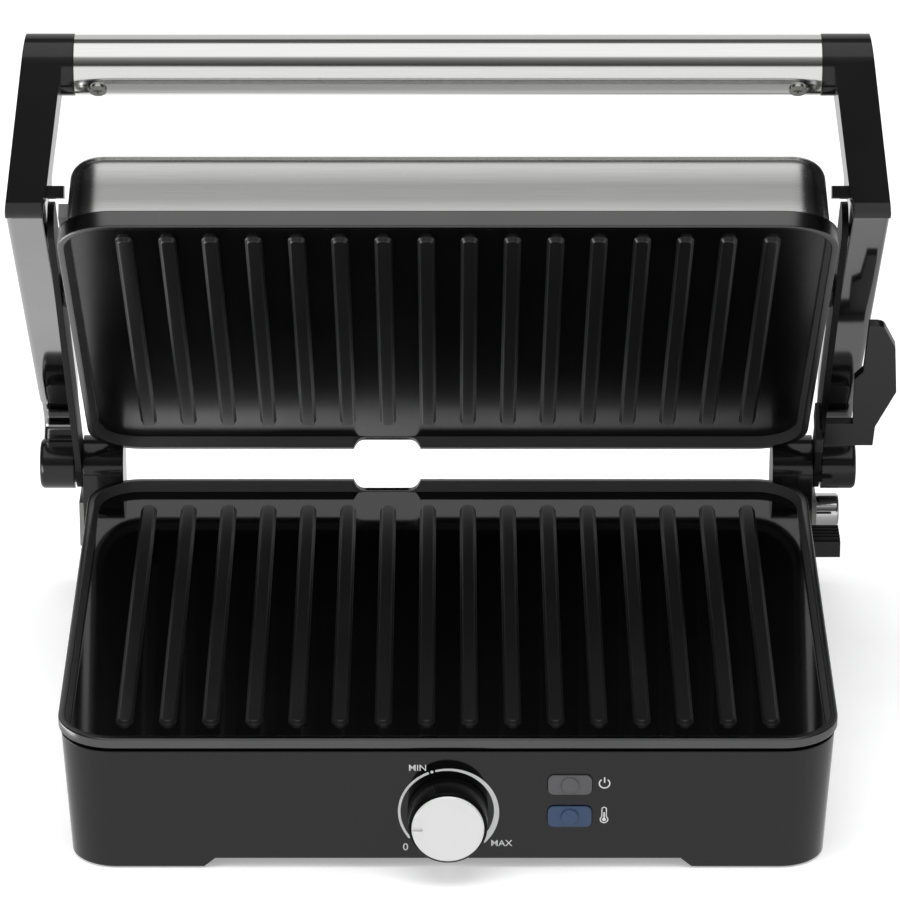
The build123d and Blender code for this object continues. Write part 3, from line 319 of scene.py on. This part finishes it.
# The lid's pieces are drawn like the base's, mirrored at the hinge's height and opened
lidHinge = {"y": 130.5, "z": 60, "openDegrees": 45}
hinge = Vector((0, lidHinge["y"] * mm, lidHinge["z"] * mm))
lidTurn = Matrix.Rotation(math.radians(-lidHinge["openDegrees"]), 4, "X")
openLid = Matrix.Translation(hinge) @ lidTurn @ Matrix.Translation(-hinge)
flipLid = Matrix.Translation((0, 0, 2 * lidHinge["z"] * mm)) @ Matrix.Scale(-1, 4, (0, 0, 1))


# Ring of a rounded rectangle; the rear side carries extra points for the drain notch
def plateRing(width, depth, corner, height, rearXs):
    points = []
    turns = 10
    for cornerX, cornerY, first in ((1, -1, -90), (1, 1, 0), (-1, 1, 90), (-1, -1, 180)):
        for step in range(turns + 1):
            angle = math.radians(first + 90 * step / turns)
            points.append((
                cornerX * (width / 2 - corner) + corner * math.cos(angle),
                cornerY * (depth / 2 - corner) + corner * math.sin(angle),
                height,
            ))
        if (cornerX, cornerY) == (1, 1):
            points.extend((x, depth / 2, height) for x in sorted(rearXs, reverse=True))
    return points


# Millimetres: heights from the table, insets from the plate's outline
grill = {
    "width": 300, "depth": 239, "corner": 22, "leastCorner": 6,
    "footLow": 46.5, "ledge": 53.0, "skirtLow": 51.1, "rimLow": 53.7, "floor": 53.7, "lip": 58.0,
    "bandInset": 0.6, "lipEnd": 2.95, "lipLow": 57.5, "wallStart": 2.55, "wallFoot": 5.0, "wallLow": 53.8,
    "spoutX": -25.5, "notchFlat": 9.0, "notchSide": 5.0, "spoutThickness": 1.1, "rearSlack": 0.01,
    "notchXs": (0, 4, 8, 9, 10, 11, 11.6, 12.2, 12.8, 13.4, 14, 14.6),
}
# inset, height and rounding of each corner of the section
plateSection = {
    "foot": ((5.7, grill["footLow"], 0), (5.7, grill["ledge"], 0), (2.5, grill["ledge"], 0),
             (2.5, grill["rimLow"], 0)),
    "plainEdge": ((0, grill["rimLow"], 0.8),),
    "skirtEdge": ((1.0, grill["rimLow"], 0), (1.0, grill["skirtLow"], 0.2), (0, grill["skirtLow"], 0.5)),
    "bowl": ((0, grill["lip"], 0.7), (3.0, grill["lip"], 0.5), (4.5, grill["floor"], 0.3),
             (5.3, grill["floor"], 0), (8.0, grill["floor"], 0)),
}


# Height of the plate in the drain notch, cut down through the rim to the floor
def notchHeight(x, inset, z):
    away = abs(x - grill["spoutX"])
    if inset > grill["wallFoot"] or away > grill["notchXs"][-1]:
        return z
    if z <= grill["floor"]:
        return min(z, grill["floor"] - grill["spoutThickness"])
    rise = max(0.0, (away - grill["notchFlat"]) / grill["notchSide"])
    return min(z, grill["floor"] + (grill["lip"] - grill["floor"]) * rise ** 3)


# Plate with the rim's band and lip in its second material and the inner wall in its third
def plateMesh(name, edge):
    rearXs = sorted({grill["spoutX"] + sign * dx for dx in grill["notchXs"] for sign in (-1, 1)})
    rings = []
    rimRows = set()
    wallRows = set()
    for inset, height in roundedProfile(plateSection["foot"] + plateSection[edge] + plateSection["bowl"]):
        corner = max(grill["corner"] - inset, grill["leastCorner"])
        ring = plateRing(grill["width"] - 2 * inset, grill["depth"] - 2 * inset, corner, height, rearXs)
        rear = grill["depth"] / 2 - inset - grill["rearSlack"]
        ring = [(x, y, notchHeight(x, inset, z) if y > rear else z) for x, y, z in ring]
        if inset < grill["bandInset"] or (inset < grill["lipEnd"] and height > grill["lipLow"]):
            rimRows.add(len(rings))
        # these rows of the inner wall take the matt grey that paints the reflection on it
        if grill["wallStart"] < inset < grill["wallFoot"] and height > grill["wallLow"]:
            wallRows.add(len(rings))
        rings.append([Vector(point) * mm for point in ring])
    mesh = loft(name, rings)
    count = len(rings[0])
    for face in mesh.polygons:
        row = face.index // count
        if row in rimRows and row + 1 in rimRows:
            face.material_index = 1
        elif row in wallRows and row + 1 in wallRows:
            face.material_index = 2
    smooth(mesh)
    return mesh


# half width, height and rounding of each corner of a rib's section
rib = {
    "length": 200, "count": 16, "pitch": 16.6, "endTurns": 12,
    "section": ((3.5, -0.1, 0), (3.1, 0.25, 0.3), (2.35, 1.8, 0.6), (0.6, 1.8, 0)),
}


def ribMesh(name):
    rings = []
    for half, height in roundedProfile(rib["section"]):
        straight = rib["length"] / 2 - rib["section"][0][0]
        ring = []
        for side, first in ((1, 0), (-1, 180)):
            for step in range(rib["endTurns"] + 1):
                angle = math.radians(first + 180 * step / rib["endTurns"])
                along = side * straight + half * math.sin(angle)
                ring.append(Vector((half * math.cos(angle), along, height)) * mm)
        rings.append(ring)
    mesh = loft(name, rings)
    smooth(mesh)
    return mesh


# Row of ribs as a node group: one rib repeated along a line
def ribRowGroup():
    group = bpy.data.node_groups.new("ribRow", "GeometryNodeTree")
    group.interface.new_socket("Rib", in_out="INPUT", socket_type="NodeSocketGeometry")
    group.interface.new_socket("Count", in_out="INPUT", socket_type="NodeSocketInt")
    group.interface.new_socket("Pitch", in_out="INPUT", socket_type="NodeSocketFloat")
    group.interface.new_socket("Material", in_out="INPUT", socket_type="NodeSocketMaterial")
    group.interface.new_socket("Ribs", in_out="OUTPUT", socket_type="NodeSocketGeometry")
    source = group.nodes.new("NodeGroupInput").outputs
    gaps = addNode(
        group, "ShaderNodeMath", {"operation": "SUBTRACT", 1: 1.0}, {0: source["Count"]}
    ).outputs[0]
    span = addNode(
        group, "ShaderNodeMath", {"operation": "MULTIPLY"}, {0: gaps, 1: source["Pitch"]}
    ).outputs[0]
    first = addNode(group, "ShaderNodeMath", {"operation": "MULTIPLY", 1: -0.5}, {0: span}).outputs[0]
    start = addNode(group, "ShaderNodeCombineXYZ", links={"X": first}).outputs[0]
    step = addNode(group, "ShaderNodeCombineXYZ", links={"X": source["Pitch"]}).outputs[0]
    line = addNode(
        group, "GeometryNodeMeshLine", {"mode": "OFFSET"},
        {"Count": source["Count"], "Start Location": start, "Offset": step},
    ).outputs["Mesh"]
    copies = addNode(
        group, "GeometryNodeInstanceOnPoints", links={"Points": line, "Instance": source["Rib"]}
    ).outputs["Instances"]
    solid = addNode(group, "GeometryNodeRealizeInstances", links={"Geometry": copies}).outputs["Geometry"]
    dressed = addNode(
        group, "GeometryNodeSetMaterial", links={"Geometry": solid, "Material": source["Material"]}
    ).outputs["Geometry"]
    addNode(group, "NodeGroupOutput", links={"Ribs": dressed})
    return group


def repeated(name, mesh, group, values):
    carrier = bpy.data.objects.new(name, mesh)
    scene.collection.objects.link(carrier)
    modifier = carrier.modifiers.new(name, "NODES")
    modifier.node_group = group
    for item in group.interface.items_tree:
        if item.in_out == "INPUT" and item.name in values:
            modifier[item.identifier] = values[item.name]
    graph = bpy.context.evaluated_depsgraph_get()
    result = bpy.data.meshes.new_from_object(carrier.evaluated_get(graph), depsgraph=graph)
    bpy.data.objects.remove(carrier)
    return result


ribGroup = ribRowGroup()
# the ribs' lifted grey is painted sheen on the plate's coating
ribValues = {"Count": rib["count"], "Pitch": rib["pitch"] * mm, "Material": materials["satinRibPaintedSheen"]}
lowerRibMesh = repeated("lowerRibs", ribMesh("singleRib"), ribGroup, ribValues)
lowerRibMesh.transform(Matrix.Translation((0, 0, grill["floor"] * mm)))
upperRibMesh = lowerRibMesh.copy()
upperRibMesh.transform(openLid @ flipLid)
upperRibMesh.flip_normals()
lowerPlateMesh = plateMesh("lowerPlate", "plainEdge")
upperPlateMesh = plateMesh("upperPlate", "skirtEdge")
upperPlateMesh.transform(openLid @ flipLid)
upperPlateMesh.flip_normals()
# the plates' inner walls carry the grey of the painted reflection
lowerPlate = addPiece(
    "lowerPlate", lowerPlateMesh, "base", "nonStickCoating", "nonstick", "rimCoating", "mattPaintedReflectionWall"
)
upperPlate = addPiece(
    "upperPlate", upperPlateMesh, "lid", "sprayedNonStick", "nonstick", "rimCoating", "mattPaintedReflectionWall"
)
addPiece("lowerRibs", lowerRibMesh, "base", "satinRibPaintedSheen", "nonstick")
addPiece("upperRibs", upperRibMesh, "lid", "satinRibPaintedSheen", "nonstick")
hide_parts("lower_grill_plate")
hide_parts("upper_grill_plate")
print("stage: grill plates")


# Front panel print lies on the sloped panel
panel = {"front": 118.5, "top": 52.1, "draftDegrees": 3.5, "printLift": 0.06, "printDepth": 0.05}


def panelY(height):
    return -(panel["front"] - (panel["top"] - height) * math.tan(math.radians(panel["draftDegrees"])))


def printPoint(x, z):
    return Vector((x, panelY(z) - panel["printLift"], z)) * mm


def printMesh(name, shapes):
    shell = bmesh.new()
    for outline, innerEdge in shapes:
        front = [shell.verts.new(printPoint(x, z)) for x, z in outline]
        if innerEdge is None:
            shell.faces.new(front)
            continue
        inner = [shell.verts.new(printPoint(x, z)) for x, z in innerEdge]
        for i in range(len(front) - 1):
            shell.faces.new((front[i], front[i + 1], inner[i + 1], inner[i]))
    solid = bmesh.ops.extrude_face_region(shell, geom=shell.faces[:])
    for element in solid["geom"]:
        if isinstance(element, bmesh.types.BMVert):
            element.co.y += panel["printDepth"] * mm
    bmesh.ops.recalc_face_normals(shell, faces=shell.faces[:])
    mesh = bpy.data.meshes.new(name)
    shell.to_mesh(mesh)
    shell.free()
    return mesh


# Strip along an arc: angles in degrees from +X, a width at each end
def arcStrip(centre, radius, first, last, startWidth, endWidth, steps=48):
    outer = []
    inner = []
    for step in range(steps + 1):
        part = step / steps
        angle = math.radians(first + (last - first) * part)
        half = (startWidth + (endWidth - startWidth) * part) / 2
        for side, reach in ((outer, radius + half), (inner, radius - half)):
            side.append((centre[0] + reach * math.cos(angle), centre[1] + reach * math.sin(angle)))
    return (outer, inner)


def bar(left, low, right, high):
    return ([(left, low), (right, low), (right, high), (left, high)], None)


def disc(x, z, radius, steps=24):
    return ([(x + radius * math.cos(2 * math.pi * i / steps), z + radius * math.sin(2 * math.pi * i / steps))
             for i in range(steps)], None)


dial = {"centre": (0, 25.4), "radius": 18.7, "zero": 219, "min": 109, "gap": 4, "dot": 0.62, "max": -45,
        "thin": 1.0, "thinEnd": 0.8, "thick": 2.5}
dotAngle = math.radians(dial["min"])
dialShapes = [
    arcStrip(
        dial["centre"], dial["radius"], dial["zero"], dial["min"] + dial["gap"], dial["thin"], dial["thin"]
    ),
    disc(
        dial["centre"][0] + dial["radius"] * math.cos(dotAngle),
        dial["centre"][1] + dial["radius"] * math.sin(dotAngle), dial["dot"],
    ),
    arcStrip(
        dial["centre"], dial["radius"], dial["min"] - dial["gap"], dial["max"], dial["thinEnd"], dial["thick"]
    ),
]
addPiece("dialRing", printMesh("dialRing", dialShapes), "base", "padPrint", "clear_lens")

iconX = 60.0
powerIcon = {"z": 38.0, "radius": 2.0, "arc": (125, 415), "line": 0.5, "barHalf": 0.27, "barSpan": (0.3, 2.7)}
powerZ = powerIcon["z"]
powerShapes = [
    arcStrip(
        (iconX, powerZ), powerIcon["radius"], *powerIcon["arc"], powerIcon["line"], powerIcon["line"]
    ),
    bar(
        iconX - powerIcon["barHalf"], powerZ + powerIcon["barSpan"][0],
        iconX + powerIcon["barHalf"], powerZ + powerIcon["barSpan"][1],
    ),
]
addPiece("powerIcon", printMesh("powerIcon", powerShapes), "base", "padPrint", "clear_lens")

# Thermometer: ring and filled bulb, column, two walls and a round cap
heatIcon = {
    "z": 23.9, "bulbZ": -2.0, "ringRadius": 1.45, "ringArc": (130, 410), "ringLine": 0.45, "bulbRadius": 0.75,
    "columnHalf": 0.28, "columnSpan": (-1.4, 1.2), "wallXs": (0.65, 1.05), "wallSpan": (-0.95, 2.6),
    "capRadius": 0.85, "capLine": 0.4, "capSteps": 16,
}
heatZ = heatIcon["z"]
bulbZ = heatZ + heatIcon["bulbZ"]
wallNear, wallFar = heatIcon["wallXs"]
wallLow, wallHigh = (heatZ + height for height in heatIcon["wallSpan"])
heatShapes = [
    arcStrip(
        (iconX, bulbZ), heatIcon["ringRadius"], *heatIcon["ringArc"],
        heatIcon["ringLine"], heatIcon["ringLine"],
    ),
    disc(iconX, bulbZ, heatIcon["bulbRadius"]),
    bar(
        iconX - heatIcon["columnHalf"], heatZ + heatIcon["columnSpan"][0],
        iconX + heatIcon["columnHalf"], heatZ + heatIcon["columnSpan"][1],
    ),
    bar(iconX - wallFar, wallLow, iconX - wallNear, wallHigh),
    bar(iconX + wallNear, wallLow, iconX + wallFar, wallHigh),
    arcStrip(
        (iconX, wallHigh), heatIcon["capRadius"], 0, 180, heatIcon["capLine"], heatIcon["capLine"],
        heatIcon["capSteps"],
    ),
]
addPiece("heatIcon", printMesh("heatIcon", heatShapes), "base", "padPrint", "clear_lens")

# x, height and letter size of each mark
marks = {"MIN": (-11.6, 44.8, 3.9), "MAX": (20.6, 11.1, 3.9), "0": (-16.3, 9.4, 4.4)}
letters = {"depth": 0.03, "bold": 0.02}
for word, (x, z, size) in marks.items():
    curve = bpy.data.curves.new("mark" + word, "FONT")
    curve.body = word
    curve.size = size * mm
    curve.align_x = "CENTER"
    curve.align_y = "CENTER"
    curve.extrude = letters["depth"] * mm
    curve.offset = letters["bold"] * mm
    carrier = bpy.data.objects.new("mark" + word, curve)
    scene.collection.objects.link(carrier)
    graph = bpy.context.evaluated_depsgraph_get()
    mesh = bpy.data.meshes.new_from_object(carrier.evaluated_get(graph), depsgraph=graph)
    bpy.data.objects.remove(carrier)
    lean = Matrix.Rotation(math.radians(90 + panel["draftDegrees"]), 4, "X")
    mesh.transform(Matrix.Translation((x * mm, (panelY(z) - letters["depth"]) * mm, z * mm)) @ lean)
    addPiece("mark" + word, mesh, "base", "padPrint", "clear_lens")
print("stage: panel print")


# Floor, lights, world and camera
floorMesh = bpy.data.meshes.new("studioFloor")
paperFloor = {"reach": 6, "grainMm": 25, "levels": (0.9, 0.93), "glow": 0.3}
reach = paperFloor["reach"]
floorCorners = [(-reach, -reach, 0), (reach, -reach, 0), (reach, reach, 0), (-reach, reach, 0)]
floorMesh.from_pydata(floorCorners, [], [(0, 1, 2, 3)])
floor = bpy.data.objects.new("studioFloor", floorMesh)
scene.collection.objects.link(floor)
floorMaterial = bpy.data.materials.new("palePaper")
floorMaterial.use_nodes = True
tree = floorMaterial.node_tree
tree.nodes.clear()
paperNoise = addNode(
    tree, "ShaderNodeTexNoise", {"Scale": 1 / (paperFloor["grainMm"] * mm), "Detail": 3.0},
    {"Vector": addNode(tree, "ShaderNodeTexCoord").outputs["Object"]},
).outputs["Fac"]
paperTint = addNode(
    tree, "ShaderNodeValToRGB", links={"Fac": paperNoise},
    stops=[(place, grey(level)) for place, level in zip(noiseSpan, paperFloor["levels"])],
).outputs["Color"]
paper = addNode(tree, "ShaderNodeBsdfDiffuse", links={"Color": paperTint}).outputs["BSDF"]
glow = addNode(tree, "ShaderNodeEmission", {"Strength": paperFloor["glow"]}).outputs["Emission"]
both = addNode(tree, "ShaderNodeAddShader", links={0: paper, 1: glow}).outputs["Shader"]
# mirrored floor, dimmer in the shade behind the right side
shade = {"centre": (0.2, 0.2, 0), "inner": 0.08, "outer": 0.3, "dim": 0.3, "full": 0.85}
away = addNode(
    tree, "ShaderNodeVectorMath", {"operation": "DISTANCE", 1: shade["centre"]},
    {0: addNode(tree, "ShaderNodeTexCoord").outputs["Object"]},
).outputs["Value"]
shadeLevel = addNode(
    tree, "ShaderNodeMapRange",
    {"From Min": shade["inner"], "From Max": shade["outer"], "To Min": shade["dim"], "To Max": shade["full"]},
    {"Value": away},
).outputs["Result"]
mirrored = addNode(tree, "ShaderNodeEmission", links={"Strength": shadeLevel}).outputs["Emission"]
rays = addNode(tree, "ShaderNodeLightPath").outputs
shown = addNode(
    tree, "ShaderNodeMixShader", links={0: rays["Is Camera Ray"], 1: paper, 2: both}
).outputs["Shader"]
shown = addNode(
    tree, "ShaderNodeMixShader", links={0: rays["Is Glossy Ray"], 1: shown, 2: mirrored}
).outputs["Shader"]
addNode(tree, "ShaderNodeOutputMaterial", links={"Surface": shown})
floorMesh.materials.append(floorMaterial)

world = bpy.data.worlds.new("studio")
scene.world = world
world.use_nodes = True
tree = world.node_tree
tree.nodes.clear()
# Mirrored surroundings: grey levels by the angle up from the front horizon, dark cards at both sides
studio = {
    "levels": ((-180, 0.62), (4, 0.85), (11, 0.8), (15, 0.06), (21, 0.05), (36, 0.16), (47, 0.34),
               (52, 1.0), (106, 1.0), (112, 0.1), (131, 0.07), (137, 0.6), (180, 0.62)),
    "cardStart": 0.36, "cardEnd": 0.56, "cardLevel": 0.03, "seen": 1.0, "soft": 0.5,
}
axes = addNode(
    tree, "ShaderNodeSeparateXYZ", links={0: addNode(tree, "ShaderNodeTexCoord").outputs["Generated"]}
).outputs
ahead = addNode(tree, "ShaderNodeMath", {"operation": "MULTIPLY", 1: -1.0}, {0: axes["Y"]}).outputs[0]
angle = addNode(tree, "ShaderNodeMath", {"operation": "ARCTAN2"}, {0: axes["Z"], 1: ahead}).outputs[0]
share = addNode(
    tree, "ShaderNodeMapRange", {"From Min": -math.pi, "From Max": math.pi}, {"Value": angle}
).outputs["Result"]
level = addNode(
    tree, "ShaderNodeValToRGB", links={"Fac": share},
    stops=[((degrees + 180) / 360, grey(value)) for degrees, value in studio["levels"]],
).outputs["Color"]
sideways = addNode(tree, "ShaderNodeMath", {"operation": "ABSOLUTE"}, {0: axes["X"]}).outputs[0]
card = addNode(
    tree, "ShaderNodeMapRange",
    {"From Min": studio["cardStart"], "From Max": studio["cardEnd"],
     "To Min": 1.0, "To Max": studio["cardLevel"]},
    {"Value": sideways},
).outputs["Result"]
around = addNode(tree, "ShaderNodeBackground", links={"Color": level, "Strength": card}).outputs[0]
white = addNode(tree, "ShaderNodeBackground", {"Color": grey(1), "Strength": studio["seen"]}).outputs[0]
soft = addNode(tree, "ShaderNodeBackground", {"Color": grey(1), "Strength": studio["soft"]}).outputs[0]
path = addNode(tree, "ShaderNodeLightPath").outputs
mixed = addNode(tree, "ShaderNodeMixShader", links={0: path["Is Camera Ray"], 1: soft, 2: white}).outputs[0]
mixed = addNode(tree, "ShaderNodeMixShader", links={0: path["Is Glossy Ray"], 1: mixed, 2: around}).outputs[0]
addNode(tree, "ShaderNodeOutputWorld", links={"Surface": mixed})


# Metres and watts; only the low one shows in reflections
softboxes = {
    "topSoftbox": {"place": (0, -0.2, 1.9), "aim": (0, 0, 0.1), "size": (1.8, 1.4), "watts": 24},
    "leftSoftbox": {"place": (-1.6, -0.9, 1.1), "aim": (0, 0, 0.15), "size": (0.9, 1.2), "watts": 12},
    "rightSoftbox": {"place": (1.6, -0.9, 1.1), "aim": (0, 0, 0.15), "size": (0.9, 1.2), "watts": 8},
    "lowLeftSoftbox": {"place": (-0.3, -0.03, 0.012), "aim": (-0.16, 0, 0.2), "size": (0.2, 0.24),
                       "watts": 0.8, "mirrored": True},
}
for name, box in softboxes.items():
    light = bpy.data.lights.new(name, "AREA")
    light.shape = "RECTANGLE"
    light.size, light.size_y = box["size"]
    light.energy = box["watts"]
    lamp = bpy.data.objects.new(name, light)
    lamp.location = box["place"]
    lamp.rotation_euler = (Vector(box["aim"]) - Vector(box["place"])).to_track_quat("-Z", "Y").to_euler()
    lamp.visible_glossy = box.get("mirrored", False)
    lamp.visible_camera = False
    scene.collection.objects.link(lamp)

cameraData = bpy.data.cameras.new("photoCamera")
# sensor and lens in millimetres, place in metres, tilt down in degrees
shot = {"sensor": 36, "lens": 223.858, "shift": 0.00234, "place": (0, -2.018516, 1.035699), "down": 24.284}
cameraData.sensor_width = shot["sensor"]
cameraData.lens = shot["lens"]
cameraData.shift_x = shot["shift"]
camera = bpy.data.objects.new("photoCamera", cameraData)
camera.location = shot["place"]
camera.rotation_euler = (math.radians(90 - shot["down"]), 0, 0)
scene.collection.objects.link(camera)
scene.camera = camera
print("stage: studio and camera")
